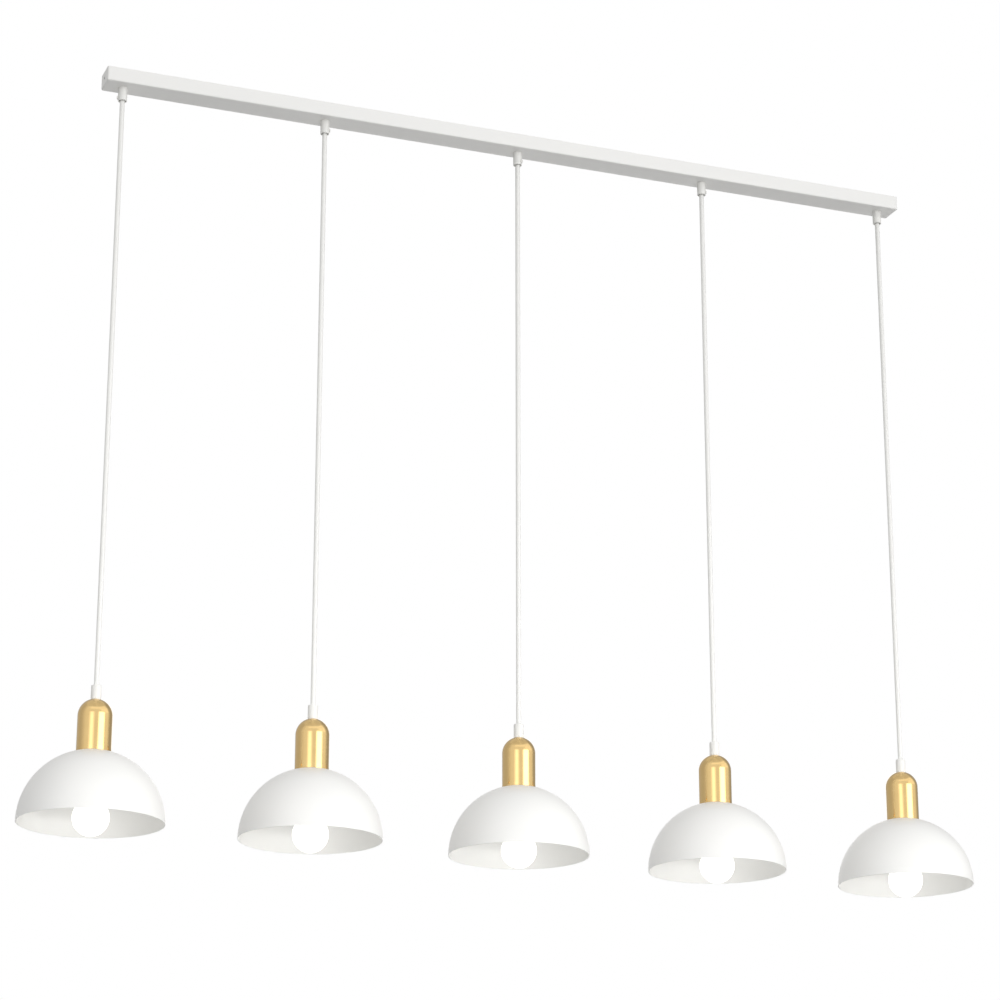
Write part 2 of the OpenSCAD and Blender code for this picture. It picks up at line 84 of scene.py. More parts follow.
AXIS = {i: middle_x(f"shade_{i}") for i in PENDANTS}
canopy_low, canopy_high = low_high("canopy")
grips_low, grips_high = low_high("cord_grips")
shade_low, shade_high = low_high("shade_3")
cap_low, cap_high = low_high("cap_3")
ferrule_low, ferrule_high = low_high("ferrule_3")
holder_low, holder_high = low_high("holder_3")
globe_low, globe_high = low_high("bulb_globe_3")
stem_low, stem_high = low_high("stem_3")

SHADE_R = (shade_high.x - shade_low.x) / 2
SHADE_WALL = 1.0
RIM_Z = shade_low.z
CAP_R = (cap_high.x - cap_low.x) / 2
CAP_WALL = 1.0
STEM_R = (stem_high.x - stem_low.x) / 2
STEM_WALL = 1.5
FERRULE_R = (ferrule_high.x - ferrule_low.x) / 2
FERRULE_TOP_Z = ferrule_high.z
FERRULE_L = 18.0
DOME_Z = FERRULE_TOP_Z - FERRULE_L - math.sqrt(CAP_R ** 2 - FERRULE_R ** 2)
MOUTH_Z = grips_low.z
UNDERSIDE_Z = canopy_low.z
GRIP_R = 6.0
CORD_R = 3.2
CORE_R = 1.0
CORE_RING_R = 1.3
CORE_TURNS = (-120, 0, 120)
# Faces that rest on each other are drawn this far apart
SEAT_GAP = 0.05
# A stem, its thread and a cord have a little room in their bores
HOLE_R = STEM_R + 0.2
THREAD_BORE_R = STEM_R + 0.03
CORD_BORE_R = CORD_R + 0.15


# Mesh making

SHARP_ANGLE = 35


def arc(centre_r, centre_z, radius, start, end, steps):
    """Points of an arc in the half plane of radius and height, with angles in degrees from outwards."""
    points = []
    for step in range(steps + 1):
        angle = math.radians(start + (end - start) * step / steps)
        points.append((centre_r + radius * math.cos(angle), centre_z + radius * math.sin(angle)))
    return points


def softened(outline, radius, steps=4, keep=()):
    """A closed outline with its sharp corners rounded, apart from those numbered in keep."""
    points = []
    count = len(outline)
    for number, corner in enumerate(outline):
        here = Vector(corner[:2])
        before = Vector(outline[number - 1][:2]) - here
        after = Vector(outline[(number + 1) % count][:2]) - here
        turn = math.pi - before.angle(after, math.pi)
        on_axis = here.x < 1e-6
        if number in keep or on_axis or turn < math.radians(25):
            points.append((here.x, here.y))
            continue
        reach = min(radius * math.tan(turn / 2), 0.45 * before.length, 0.45 * after.length)
        start = here + before.normalized() * reach
        end = here + after.normalized() * reach
        for step in range(steps + 1):
            t = step / steps
            point = start * (1 - t) ** 2 + here * 2 * t * (1 - t) + end * t ** 2
            points.append((point.x, point.y))
    return points


def round_angles(count):
    """Angles of points spread evenly round a circle."""
    return [2 * math.pi * number / count for number in range(count)]


def add_band(bm, upper, lower):
    """Faces between two closed rings of as many points."""
    for number in range(len(upper)):
        beside = (number + 1) % len(upper)
        bm.faces.new((upper[number], upper[beside], lower[beside], lower[number]))


def add_fan(bm, ring, tip):
    """Faces between a closed ring and one point."""
    for number in range(len(ring)):
        beside = (number + 1) % len(ring)
        bm.faces.new((ring[number], ring[beside], tip))


def finish_mesh(name, bm, material, sharp=SHARP_ANGLE):
    """A scene object from a bmesh in millimetres, smooth except where its faces meet at an edge."""
    bmesh.ops.recalc_face_normals(bm, faces=bm.faces)
    bmesh.ops.scale(bm, vec=(MM, MM, MM), verts=bm.verts)
    mesh = bpy.data.meshes.new(name)
    bm.to_mesh(mesh)
    bm.free()
    mesh.shade_smooth()
    mesh.set_sharp_from_angle(angle=math.radians(sharp))
    mesh.materials.append(material)
    piece = bpy.data.objects.new(name, mesh)
    bpy.context.scene.collection.objects.link(piece)
    return piece


def carve(piece, cutter):
    """Takes the form of a cutter out of a piece, and removes the cutter."""
    cut = piece.modifiers.new("cut", "BOOLEAN")
    cut.object = cutter
    cut.solver = "EXACT"
    ready = piece.evaluated_get(bpy.context.evaluated_depsgraph_get())
    carved = bpy.data.meshes.new_from_object(ready)
    piece.modifiers.clear()
    piece.data = carved
    carved.set_sharp_from_angle(angle=math.radians(SHARP_ANGLE))
    bpy.data.objects.remove(cutter)


def turned(name, outline, material, axis_x=0.0, sides=96,
           flutes=0, flute_depth=0.0, flute_span=(0.0, 0.0)):
    """A closed outline of (radius, height) points, turned round an upright axis."""
    bm = bmesh.new()
    rings = []
    for radius, height in outline:
        if radius < 1e-6:
            rings.append([bm.verts.new((axis_x, 0.0, height))])
            continue
        ring = []
        fluted = flute_span[0] <= height <= flute_span[1]
        for angle in round_angles(sides):
            reach = radius
            if fluted:
                reach -= flute_depth * (0.5 - 0.5 * math.cos(flutes * angle))
            spot = (axis_x + reach * math.cos(angle), reach * math.sin(angle), height)
            ring.append(bm.verts.new(spot))
        rings.append(ring)
    for ring, following in zip(rings, rings[1:] + rings[:1]):
        if len(ring) > 1 and len(following) > 1:
            add_band(bm, ring, following)
        elif len(ring) > 1:
            add_fan(bm, ring, following[0])
        elif len(following) > 1:
            add_fan(bm, following, ring[0])
    return finish_mesh(name, bm, material)


def smooth_path(points, spacing):
    """Points along a curve through the given ones, about spacing apart."""
    line = [Vector(p) for p in points]
    line = [line[0] * 2 - line[1]] + line + [line[-1] * 2 - line[-2]]
    path = []
    for a, b, c, d in zip(line, line[1:], line[2:], line[3:]):
        steps = max(1, round((c - b).length / spacing))
        for step in range(steps):
            t = step / steps
            bend = (b * 2 + (c - a) * t + (a * 2 - b * 5 + c * 4 - d) * t ** 2
                    + (b * 3 - a - c * 3 + d) * t ** 3)
            path.append(bend / 2)
    path.append(line[-2])
    return path


def add_swept(bm, path, radius, sides):
    """Sweeps a circle along a path into bm, closed at both ends. Its UVs run once round and along."""
    uv_layer = bm.loops.layers.uv.verify()
    rings = []
    along = [0.0]
    side_axis = None
    for number, point in enumerate(path):
        before = path[max(number - 1, 0)]
        after = path[min(number + 1, len(path) - 1)]
        forward = (after - before).normalized()
        if side_axis is None:
            side_axis = forward.orthogonal().normalized()
        side_axis = (side_axis - forward * side_axis.dot(forward)).normalized()
        across = forward.cross(side_axis)
        ring = []
        for angle in round_angles(sides):
            spot = point + (side_axis * math.cos(angle) + across * math.sin(angle)) * radius
            ring.append(bm.verts.new(spot))
        rings.append(ring)
        if number:
            along.append(along[-1] + (point - path[number - 1]).length)
    for number in range(len(rings) - 1):
        for side in range(sides):
            beside = (side + 1) % sides
            face = bm.faces.new((rings[number][side], rings[number][beside],
                                 rings[number + 1][beside], rings[number + 1][side]))
            round_uv = (side / sides, (side + 1) / sides, (side + 1) / sides, side / sides)
            along_uv = (along[number], along[number], along[number + 1], along[number + 1])
            for loop, u, v in zip(face.loops, round_uv, along_uv):
                loop[uv_layer].uv = (u, v * MM)
    bm.faces.new(list(reversed(rings[0])))
    bm.faces.new(rings[-1])


def swept(name, paths, radius, material, sides=16):
    bm = bmesh.new()
    for path in paths:
        add_swept(bm, path, radius, sides)
    return finish_mesh(name, bm, material, sharp=50)


# Materials

# Nearly all of a noise lies between these values
NOISE_SPAN = {"From Min": 0.3, "From Max": 0.7}


def linear(hex_colour):
    """A linear colour from sRGB hex."""
    channels = []
    for place in (1, 3, 5):
        value = int(hex_colour[place:place + 2], 16) / 255
        channels.append(value / 12.92 if value <= 0.04045 else ((value + 0.055) / 1.055) ** 2.4)
    return (*channels, 1.0)


def add_node(tree, kind, settings=None, links=None):
    """A node with its settings, by property or socket name, and its links, by socket."""
    node = tree.nodes.new(kind)
    for name, value in (settings or {}).items():
        if isinstance(name, str) and hasattr(node, name):
            setattr(node, name, value)
        else:
            node.inputs[name].default_value = value
    for name, source in (links or {}).items():
        tree.links.new(source, node.inputs[name])
    return node


def new_material(name):
    """An empty material and its node tree."""
    material = bpy.data.materials.new(name)
    material.use_nodes = True
    material.node_tree.nodes.clear()
    return material, material.node_tree


def per_mm(size):
    """Scale of a noise whose features are about size millimetres across."""
    return 1 / (size * MM)


def seen_directly(tree):
    """1 where the eye, gloss or glass sees a thing, and 0 where it only lights others."""
    path = add_node(tree, "ShaderNodeLightPath")
    eye_or_gloss = add_node(
        tree, "ShaderNodeMath", {"operation": "ADD"},
        {0: path.outputs["Is Camera Ray"], 1: path.outputs["Is Glossy Ray"]})
    any_of_them = add_node(
        tree, "ShaderNodeMath", {"operation": "ADD", "use_clamp": True},
        {0: eye_or_gloss.outputs[0], 1: path.outputs["Is Transmission Ray"]})
    return any_of_them.outputs[0]


def polyester_powder_coat():
    """Sprayed and baked powder on steel: a satin white skin with a faint orange peel."""
    material, tree = new_material("polyester_powder_coat")
    place = add_node(tree, "ShaderNodeTexCoord").outputs["Object"]
    # Real orange peel is 1 to 2 mm across; 3 mm is the finest that shows at this distance
    peel = add_node(
        tree, "ShaderNodeTexNoise", {"Scale": per_mm(3), "Detail": 2.0}, {"Vector": place})
    # Film thickness drifts over 60 mm as the gun passes, and moves the white a little
    film = add_node(
        tree, "ShaderNodeTexNoise", {"Scale": per_mm(60), "Detail": 3.0}, {"Vector": place})
    tint = add_node(
        tree, "ShaderNodeMix", {"data_type": "RGBA", 6: linear("#F2F2F0"), 7: linear("#F5F4F1")},
        {0: film.outputs["Fac"]})
    gloss = add_node(
        tree, "ShaderNodeMapRange", {**NOISE_SPAN, "To Min": 0.38, "To Max": 0.46},
        {"Value": film.outputs["Fac"]})
    bump = add_node(
        tree, "ShaderNodeBump", {"Strength": 0.5, "Distance": 0.04 * MM},
        {"Height": peel.outputs["Fac"]})
    shader = add_node(
        tree, "ShaderNodeBsdfPrincipled", {"IOR": 1.5},
        {"Base Color": tint.outputs[2], "Roughness": gloss.outputs[0], "Normal": bump.outputs[0]})
    add_node(tree, "ShaderNodeOutputMaterial", links={"Surface": shader.outputs[0]})
    return material


def polished_brass():
    """Spun brass, polished on the lathe and lacquered: mirror-like, with fine rings round its axis."""
    material, tree = new_material("polished_brass")
    place = add_node(tree, "ShaderNodeTexCoord").outputs["Object"]
    # Polishing lines are some 0.1 mm apart; they are drawn 0.8 mm apart so that they show
    stretched = add_node(
        tree, "ShaderNodeMapping", {"Scale": (0.02, 0.02, 1.0)}, {"Vector": place})
    lines = add_node(
        tree, "ShaderNodeTexNoise", {"Scale": per_mm(0.8), "Detail": 3.0},
        {"Vector": stretched.outputs["Vector"]})
    # Lacquer and handling leave soft clouds some 15 mm across
    clouds = add_node(
        tree, "ShaderNodeTexNoise", {"Scale": per_mm(15), "Detail": 4.0}, {"Vector": place})
    tint = add_node(
        tree, "ShaderNodeMix", {"data_type": "RGBA", 6: linear("#DDBC80"), 7: linear("#E5C68B")},
        {0: clouds.outputs["Fac"]})
    lines_gloss = add_node(
        tree, "ShaderNodeMapRange", {**NOISE_SPAN, "To Min": 0.11, "To Max": 0.17},
        {"Value": lines.outputs["Fac"]})
    clouds_gloss = add_node(
        tree, "ShaderNodeMapRange", {**NOISE_SPAN, "To Min": -0.015, "To Max": 0.03},
        {"Value": clouds.outputs["Fac"]})
    gloss = add_node(
        tree, "ShaderNodeMath", {"operation": "ADD"},
        {0: lines_gloss.outputs[0], 1: clouds_gloss.outputs[0]})
    bump = add_node(
        tree, "ShaderNodeBump", {"Strength": 0.5, "Distance": 0.01 * MM},
        {"Height": lines.outputs["Fac"]})
    shader = add_node(
        tree, "ShaderNodeBsdfPrincipled", {"Metallic": 1.0},
        {"Base Color": tint.outputs[2], "Roughness": gloss.outputs[0], "Normal": bump.outputs[0]})
    add_node(tree, "ShaderNodeOutputMaterial", links={"Surface": shader.outputs[0]})
    return material


def moulded_plastic(name, light, dark, roughness, grain_mm):
    """Injection moulded plastic: one colour right through, with the fine grain of an eroded mould."""
    material, tree = new_material(name)
    place = add_node(tree, "ShaderNodeTexCoord").outputs["Object"]
    grain = add_node(
        tree, "ShaderNodeTexNoise", {"Scale": per_mm(grain_mm), "Detail": 3.0}, {"Vector": place})
    # Flow of the melt shows as a slow drift of tone over 12 mm
    flow = add_node(
        tree, "ShaderNodeTexNoise", {"Scale": per_mm(12), "Detail": 2.0}, {"Vector": place})
    tint = add_node(
        tree, "ShaderNodeMix", {"data_type": "RGBA", 6: linear(light), 7: linear(dark)},
        {0: flow.outputs["Fac"]})
    gloss = add_node(
        tree, "ShaderNodeMapRange",
        {**NOISE_SPAN, "To Min": roughness - 0.04, "To Max": roughness + 0.04},
        {"Value": grain.outputs["Fac"]})
    bump = add_node(
        tree, "ShaderNodeBump", {"Strength": 0.3, "Distance": 0.015 * MM},
        {"Height": grain.outputs["Fac"]})
    shader = add_node(
        tree, "ShaderNodeBsdfPrincipled", {"IOR": 1.5},
        {"Base Color": tint.outputs[2], "Roughness": gloss.outputs[0], "Normal": bump.outputs[0]})
    add_node(tree, "ShaderNodeOutputMaterial", links={"Surface": shader.outputs[0]})
    return material


def plated_metal(name, light, dark, roughness, cloud_mm, line_mm, line_axis=2):
    """Plated or stamped metal: clouded tone, and drawing lines along or across the sheet."""
    material, tree = new_material(name)
    place = add_node(tree, "ShaderNodeTexCoord").outputs["Object"]
    stretch = [0.05, 0.05, 0.05]
    stretch[line_axis] = 1.0
    stretched = add_node(tree, "ShaderNodeMapping", {"Scale": stretch}, {"Vector": place})
    lines = add_node(
        tree, "ShaderNodeTexNoise", {"Scale": per_mm(line_mm), "Detail": 2.0},
        {"Vector": stretched.outputs["Vector"]})
    clouds = add_node(
        tree, "ShaderNodeTexNoise", {"Scale": per_mm(cloud_mm), "Detail": 4.0}, {"Vector": place})
    tint = add_node(
        tree, "ShaderNodeMix", {"data_type": "RGBA", 6: linear(light), 7: linear(dark)},
        {0: clouds.outputs["Fac"]})
    gloss = add_node(
        tree, "ShaderNodeMapRange",
        {**NOISE_SPAN, "To Min": roughness - 0.06, "To Max": roughness + 0.08},
        {"Value": clouds.outputs["Fac"]})
    bump = add_node(
        tree, "ShaderNodeBump", {"Strength": 0.2, "Distance": 0.01 * MM},
        {"Height": lines.outputs["Fac"]})
    shader = add_node(
        tree, "ShaderNodeBsdfPrincipled", {"Metallic": 1.0},
        {"Base Color": tint.outputs[2], "Roughness": gloss.outputs[0], "Normal": bump.outputs[0]})
    add_node(tree, "ShaderNodeOutputMaterial", links={"Surface": shader.outputs[0]})
    return material


def opal_glass():
    """Blown glass, milky right through and lit from within: an even glow under a smooth skin."""
    material, tree = new_material("opal_glass")
    place = add_node(tree, "ShaderNodeTexCoord").outputs["Object"]
    # Blowing leaves the milk a little uneven over 18 mm
    milk = add_node(
        tree, "ShaderNodeTexNoise", {"Scale": per_mm(18), "Detail": 2.0}, {"Vector": place})
    tint = add_node(
        tree, "ShaderNodeMix", {"data_type": "RGBA", 6: linear("#F7F7F4"), 7: linear("#FBFBF9")},
        {0: milk.outputs["Fac"]})
    glow = add_node(
        tree, "ShaderNodeMapRange", {**NOISE_SPAN, "To Min": 1.5, "To Max": 1.6},
        {"Value": milk.outputs["Fac"]})
    ripple = add_node(
        tree, "ShaderNodeBump", {"Strength": 0.15, "Distance": 0.05 * MM},
        {"Height": milk.outputs["Fac"]})
    shader = add_node(
        tree, "ShaderNodeBsdfPrincipled",
        {"IOR": 1.5, "Roughness": 0.09, "Emission Color": linear("#FFFDF8")},
        {"Base Color": tint.outputs[2], "Emission Strength": glow.outputs[0],
         "Normal": ripple.outputs[0]})
    add_node(tree, "ShaderNodeOutputMaterial", links={"Surface": shader.outputs[0]})
    return material


def core_insulation(name, main, second, striped=False):
    """Extruded insulation of one core: smooth and slightly waxy, in one colour or striped.
    The second colour is the stripe, or else how the wax drifts."""
    material, tree = new_material(name)
    place = add_node(tree, "ShaderNodeTexCoord").outputs["Object"]
    # Extrusion leaves faint bands some 2 mm long
    bands = add_node(
        tree, "ShaderNodeTexNoise", {"Scale": per_mm(2), "Detail": 2.0}, {"Vector": place})
    where_second = bands.outputs["Fac"]
    if striped:
        uv = add_node(tree, "ShaderNodeTexCoord").outputs["UV"]
        round_it = add_node(tree, "ShaderNodeSeparateXYZ", links={"Vector": uv})
        # The stripe covers half of the way round
        stripe = add_node(
            tree, "ShaderNodeMath", {"operation": "GREATER_THAN", 1: 0.5},
            {0: round_it.outputs["X"]})
        where_second = stripe.outputs[0]
    tint = add_node(
        tree, "ShaderNodeMix", {"data_type": "RGBA", 6: linear(main), 7: linear(second)},
        {0: where_second})
    gloss = add_node(
        tree, "ShaderNodeMapRange", {**NOISE_SPAN, "To Min": 0.32, "To Max": 0.42},
        {"Value": bands.outputs["Fac"]})
    bump = add_node(
        tree, "ShaderNodeBump", {"Strength": 0.1, "Distance": 0.02 * MM},
        {"Height": bands.outputs["Fac"]})
    shader = add_node(
        tree, "ShaderNodeBsdfPrincipled", {"IOR": 1.53},
        {"Base Color": tint.outputs[2], "Roughness": gloss.outputs[0], "Normal": bump.outputs[0]})
    add_node(tree, "ShaderNodeOutputMaterial", links={"Surface": shader.outputs[0]})
    return material


def matte_floor():
    """Pale matte paint on a studio floor, with the faint mottle of a roller."""
    material, tree = new_material("matte_floor_paint")
    place = add_node(tree, "ShaderNodeTexCoord").outputs["Object"]
    mottle = add_node(
        tree, "ShaderNodeTexNoise", {"Scale": per_mm(400), "Detail": 3.0}, {"Vector": place})
    tint = add_node(
        tree, "ShaderNodeMix", {"data_type": "RGBA", 6: linear("#F4F4F2"), 7: linear("#F7F7F5")},
        {0: mottle.outputs["Fac"]})
    # Bright to the eye and in reflections, and no lamp for the light above it. White shades stand
    # out against its middle, and from 9 to 15 m away it turns as white as the surround
    away = add_node(tree, "ShaderNodeVectorMath", {"operation": "LENGTH"}, {"Vector": place})
    strength = add_node(
        tree, "ShaderNodeMapRange",
        {"From Min": 9.0, "From Max": 15.0, "To Min": 0.12, "To Max": 0.27},
        {"Value": away.outputs["Value"]})
    glow = add_node(
        tree, "ShaderNodeMath", {"operation": "MULTIPLY"},
        {0: seen_directly(tree), 1: strength.outputs[0]})
    shader = add_node(
        tree, "ShaderNodeBsdfPrincipled", {"Roughness": 0.9, "Emission Color": linear("#FAFAF8")},
        {"Base Color": tint.outputs[2], "Emission Strength": glow.outputs[0]})
    add_node(tree, "ShaderNodeOutputMaterial", links={"Surface": shader.outputs[0]})
    return material


powder_coat = polyester_powder_coat()
brass = polished_brass()
grip_nylon = moulded_plastic("white_nylon", "#EFEFEC", "#F3F2EE", 0.5, 0.8)
cord_vinyl = moulded_plastic("white_vinyl_sheath", "#F1F1EE", "#F5F4F1", 0.42, 1.5)
holder_plastic = moulded_plastic("white_thermoplastic", "#EFEEE9", "#F4F3EE", 0.4, 0.9)
ivory_nylon = moulded_plastic("ivory_nylon", "#E9E1CB", "#F0E9D7", 0.45, 0.8)
zinc_plate = plated_metal("zinc_plated_steel", "#B4B8BD", "#C6C8CA", 0.36, 10, 0.6, line_axis=1)
stamped_brass = plated_metal("stamped_brass", "#C39A55", "#D2AC6A", 0.32, 4, 0.5)
nickel_plate = plated_metal("nickel_plate", "#BDB8AE", "#CFCAC0", 0.24, 6, 0.4)
opal = opal_glass()
brown_core = core_insulation("brown_core", "#583720", "#614028")
blue_core = core_insulation("blue_core", "#2C62B0", "#3A6FBC")
striped_core = core_insulation("green_and_yellow_core", "#3E8E41", "#E6C72E", striped=True)
CORES = (brown_core, blue_core, striped_core)


# Cords first: each hangs straight from the mouth of its grip to its ferrule

CORD_HEIGHTS = (
    -39, -95, -150, -205, -260, -315, -370, -425, -480, -535, -590, -645, -700, -755, -810, -838.5)
CORD_END_Z = CORD_HEIGHTS[-1]
CORD_SIDES = 24
CORD_RING_GAP = 4.0
# Three cores lie twisted under the sheath, one turn in about 70 mm, and just show through it
TWIST_L = 70.0
TWIST_SWELL = 0.03


def cord_mesh(name, i):
    """The sheath of one cord, with a round top in the grip's mouth and the swell of its cores."""
    outline = arc(0, MOUTH_Z, CORD_R, 72, 0, 4)
    z = MOUTH_Z - CORD_RING_GAP
    while z > CORD_END_Z:
        outline.append((CORD_R, z))
        z -= CORD_RING_GAP
    outline.append((CORD_R, CORD_END_Z))
    bm = bmesh.new()
    top = bm.verts.new((AXIS[i], 0.0, MOUTH_Z + CORD_R))
    rings = []
    for radius, z in outline:
        ring = []
        turn = 2 * math.pi * z / TWIST_L + i
        for angle in round_angles(CORD_SIDES):
            reach = radius - TWIST_SWELL * (1 - math.cos(len(CORES) * angle + turn)) / 2
            spot = (AXIS[i] + reach * math.cos(angle), reach * math.sin(angle), z)
            ring.append(bm.verts.new(spot))
        rings.append(ring)
    add_fan(bm, rings[0], top)
    for upper, lower in zip(rings, rings[1:]):
        add_band(bm, upper, lower)
    bm.faces.new(rings[-1])
    return finish_mesh(name, bm, cord_vinyl)


for i in PENDANTS:
    cord = cord_mesh(f"cord_sheath_{i}", i)
    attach(cord, f"pendant_{i}")
    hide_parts(f"cord_{i}", f"cord_bend_{i}")


# The bar

BAR_L = canopy_high.x - canopy_low.x
BAR_W = canopy_high.y - canopy_low.y
BAR_WALL = 1.2
CORNER_R = 2.5
LEAST_CORNER_R = 0.15
EDGE_R = 2.0
EDGE_STEPS = 6
HOLE_SIDES = 48
END_SCREW_Z = -10.0
END_HOLE_R = 2.2
DRILL_IN = 4.0
DRILL_OUT = 2.0


def rounded_rectangle(length, width, corner, steps=8):
    points = []
    for quarter, (sx, sy) in enumerate(((1, 1), (-1, 1), (-1, -1), (1, -1))):
        for step in range(steps + 1):
            angle = math.radians(90 * (quarter + step / steps))
            points.append((
                sx * (length / 2 - corner) + corner * math.cos(angle),
                sy * (width / 2 - corner) + corner * math.sin(angle)))
    return points


def add_shell(bm, wall, depth_z, edge):
    """One skin of the bar, wall inside its outside, down to depth_z with a rounded lower edge.
    Gives the loops of its upper and lower borders."""
    levels = [(0.0, 0.0), (0.0, depth_z + edge)]
    for step in range(1, EDGE_STEPS + 1):
        angle = math.radians(90 * step / EDGE_STEPS)
        levels.append((edge * (1 - math.cos(angle)), depth_z + edge * (1 - math.sin(angle))))
    loops = []
    for inset, z in levels:
        gap = 2 * (wall + inset)
        corner = max(CORNER_R - wall - inset, LEAST_CORNER_R)
        plan = rounded_rectangle(BAR_L - gap, BAR_W - gap, corner)
        loops.append([bm.verts.new((x, y, z)) for x, y in plan])
    for upper, lower in zip(loops, loops[1:]):
        add_band(bm, upper, lower)
    return loops[0], loops[-1]


def bar_canopy():
    """The folded and coated steel channel, with its five grip holes."""
    bm = bmesh.new()
    outer_top, outer_low = add_shell(bm, 0.0, UNDERSIDE_Z, EDGE_R)
    inner_top, inner_low = add_shell(bm, BAR_WALL, UNDERSIDE_Z + BAR_WALL, EDGE_R - BAR_WALL)
    add_band(bm, outer_top, inner_top)
    holes = []
    for x in AXIS.values():
        pair = []
        for z in (UNDERSIDE_Z, UNDERSIDE_Z + BAR_WALL):
            pair.append([
                bm.verts.new((x + HOLE_R * math.cos(a), HOLE_R * math.sin(a), z))
                for a in round_angles(HOLE_SIDES)])
        holes.append(pair)
        add_band(bm, *pair)
    for border, level in ((outer_low, 0), (inner_low, 1)):
        rings = [border] + [pair[level] for pair in holes]
        edges = []
        for ring in rings:
            for number in range(len(ring)):
                pair = (ring[number], ring[(number + 1) % len(ring)])
                edges.append(bm.edges.get(pair) or bm.edges.new(pair))
        bmesh.ops.triangle_fill(bm, edges=edges, use_beauty=True)
    return finish_mesh("bar_canopy", bm, powder_coat)


def end_drill():
    """A pin through each end face of the bar, as wide as the hole of its end screw."""
    bm = bmesh.new()
    for side in (-1, 1):
        rings = []
        for x in (side * (BAR_L / 2 - DRILL_IN), side * (BAR_L / 2 + DRILL_OUT)):
            rings.append([
                bm.verts.new((x, END_HOLE_R * math.cos(a), END_SCREW_Z + END_HOLE_R * math.sin(a)))
                for a in round_angles(HOLE_SIDES)])
        add_band(bm, *rings)
        for ring in rings:
            bm.faces.new(ring)
    return finish_mesh("drill", bm, powder_coat)


canopy = bar_canopy()
carve(canopy, end_drill())
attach(canopy, "bar")
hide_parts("canopy")


# Cord grips under the bar, each with a clamp screw

GRIP_TOP_Z = grips_high.z
GRIP_MOUTH_R = 4.6
GRIP_MOUTH_DEPTH = 3.0
GRIP_THREAD_TURNS = 8
GRIP_THREAD_DEPTH = 0.25
SCREW_Z = MOUTH_Z + 5.1
SCREW_ANGLES = dict(zip(PENDANTS, (160, -20, -50, -20, 205)))
SCREW_HEAD_R = 2.5
SCREW_HEAD_H = 1.4
SCREW_SHANK_R = 1.7
SLOT_W = 0.8
SLOT_DEPTH = 0.6


def grip_outline():
    """A slightly tapered body with a wide mouth, and a thread up through the bar."""
    thread = []
    for turn in range(GRIP_THREAD_TURNS):
        z = UNDERSIDE_Z + 0.4 + turn * (GRIP_TOP_Z - 0.8 - UNDERSIDE_Z) / GRIP_THREAD_TURNS
        thread += [(STEM_R, z), (STEM_R - GRIP_THREAD_DEPTH, z + 0.3)]
    shoulder_z = UNDERSIDE_Z - SEAT_GAP
    body = softened([
        (CORD_BORE_R, GRIP_TOP_Z), (CORD_BORE_R, MOUTH_Z + GRIP_MOUTH_DEPTH + 0.6),
        (GRIP_MOUTH_R, MOUTH_Z + GRIP_MOUTH_DEPTH), (GRIP_MOUTH_R, MOUTH_Z),
        (GRIP_R - 0.1, MOUTH_Z), (GRIP_R, shoulder_z), (STEM_R - 0.1, shoulder_z)],
        0.55, keep=(0, 6))
    return body + thread + [(STEM_R - 0.5, GRIP_TOP_Z)]


def clamp_screw_mesh(name, i):
    """A slotted screw with a domed head, lying across the grip at its own angle."""
    head_x = GRIP_R + SEAT_GAP
    crown_x = head_x + SCREW_HEAD_H
    tip_x = CORD_R + SEAT_GAP
    outline = softened([
        (0.0, crown_x), (SCREW_HEAD_R, crown_x - 0.25), (SCREW_HEAD_R, head_x),
        (SCREW_SHANK_R, head_x), (SCREW_SHANK_R, tip_x), (0.0, tip_x)], 0.6)
    screw = turned(name, outline, grip_nylon, sides=48)
    blade = bmesh.new()
    bmesh.ops.create_cube(blade, size=1.0)
    bmesh.ops.scale(blade, vec=(SLOT_W, 8.0, 2 * SLOT_DEPTH), verts=blade.verts)
    bmesh.ops.translate(blade, vec=(0.0, 0.0, crown_x), verts=blade.verts)
    carve(screw, finish_mesh("slot_cutter", blade, grip_nylon))
    turn = math.radians(SCREW_ANGLES[i])
    for vertex in screw.data.vertices:
        down, y, outward = vertex.co
        vertex.co = (
            AXIS[i] * MM + outward * math.cos(turn) - y * math.sin(turn),
            outward * math.sin(turn) + y * math.cos(turn),
            SCREW_Z * MM - down)
    return screw


for i in PENDANTS:
    grip = turned(f"cord_grip_{i}", grip_outline(), grip_nylon, AXIS[i], sides=64)
    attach(grip, "bar")
    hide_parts("cord_grips")
    screw = clamp_screw_mesh(f"clamp_screw_{i}", i)
    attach(screw, "bar")
    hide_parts("clamp_screws")


# Inside the bar: sheath ends and cores, up to the terminal block

TAIL_TOP_Z = GRIP_TOP_Z - 2.7
TAIL_END_Z = MOUTH_Z + 3.3
BLOCK_X = middle_x("terminal_block")
LANE_Z = -7.2
POLE_PITCH = 10.0
CORE_LANES = dict(zip(PENDANTS, (90, 210, 330, 330, 210)))
FAN_L = 24.0
CLIMB_L = 20.0
CLAMP_L = 18.0
WIRE_HOLD = 6.0
BEND_R = 3.0


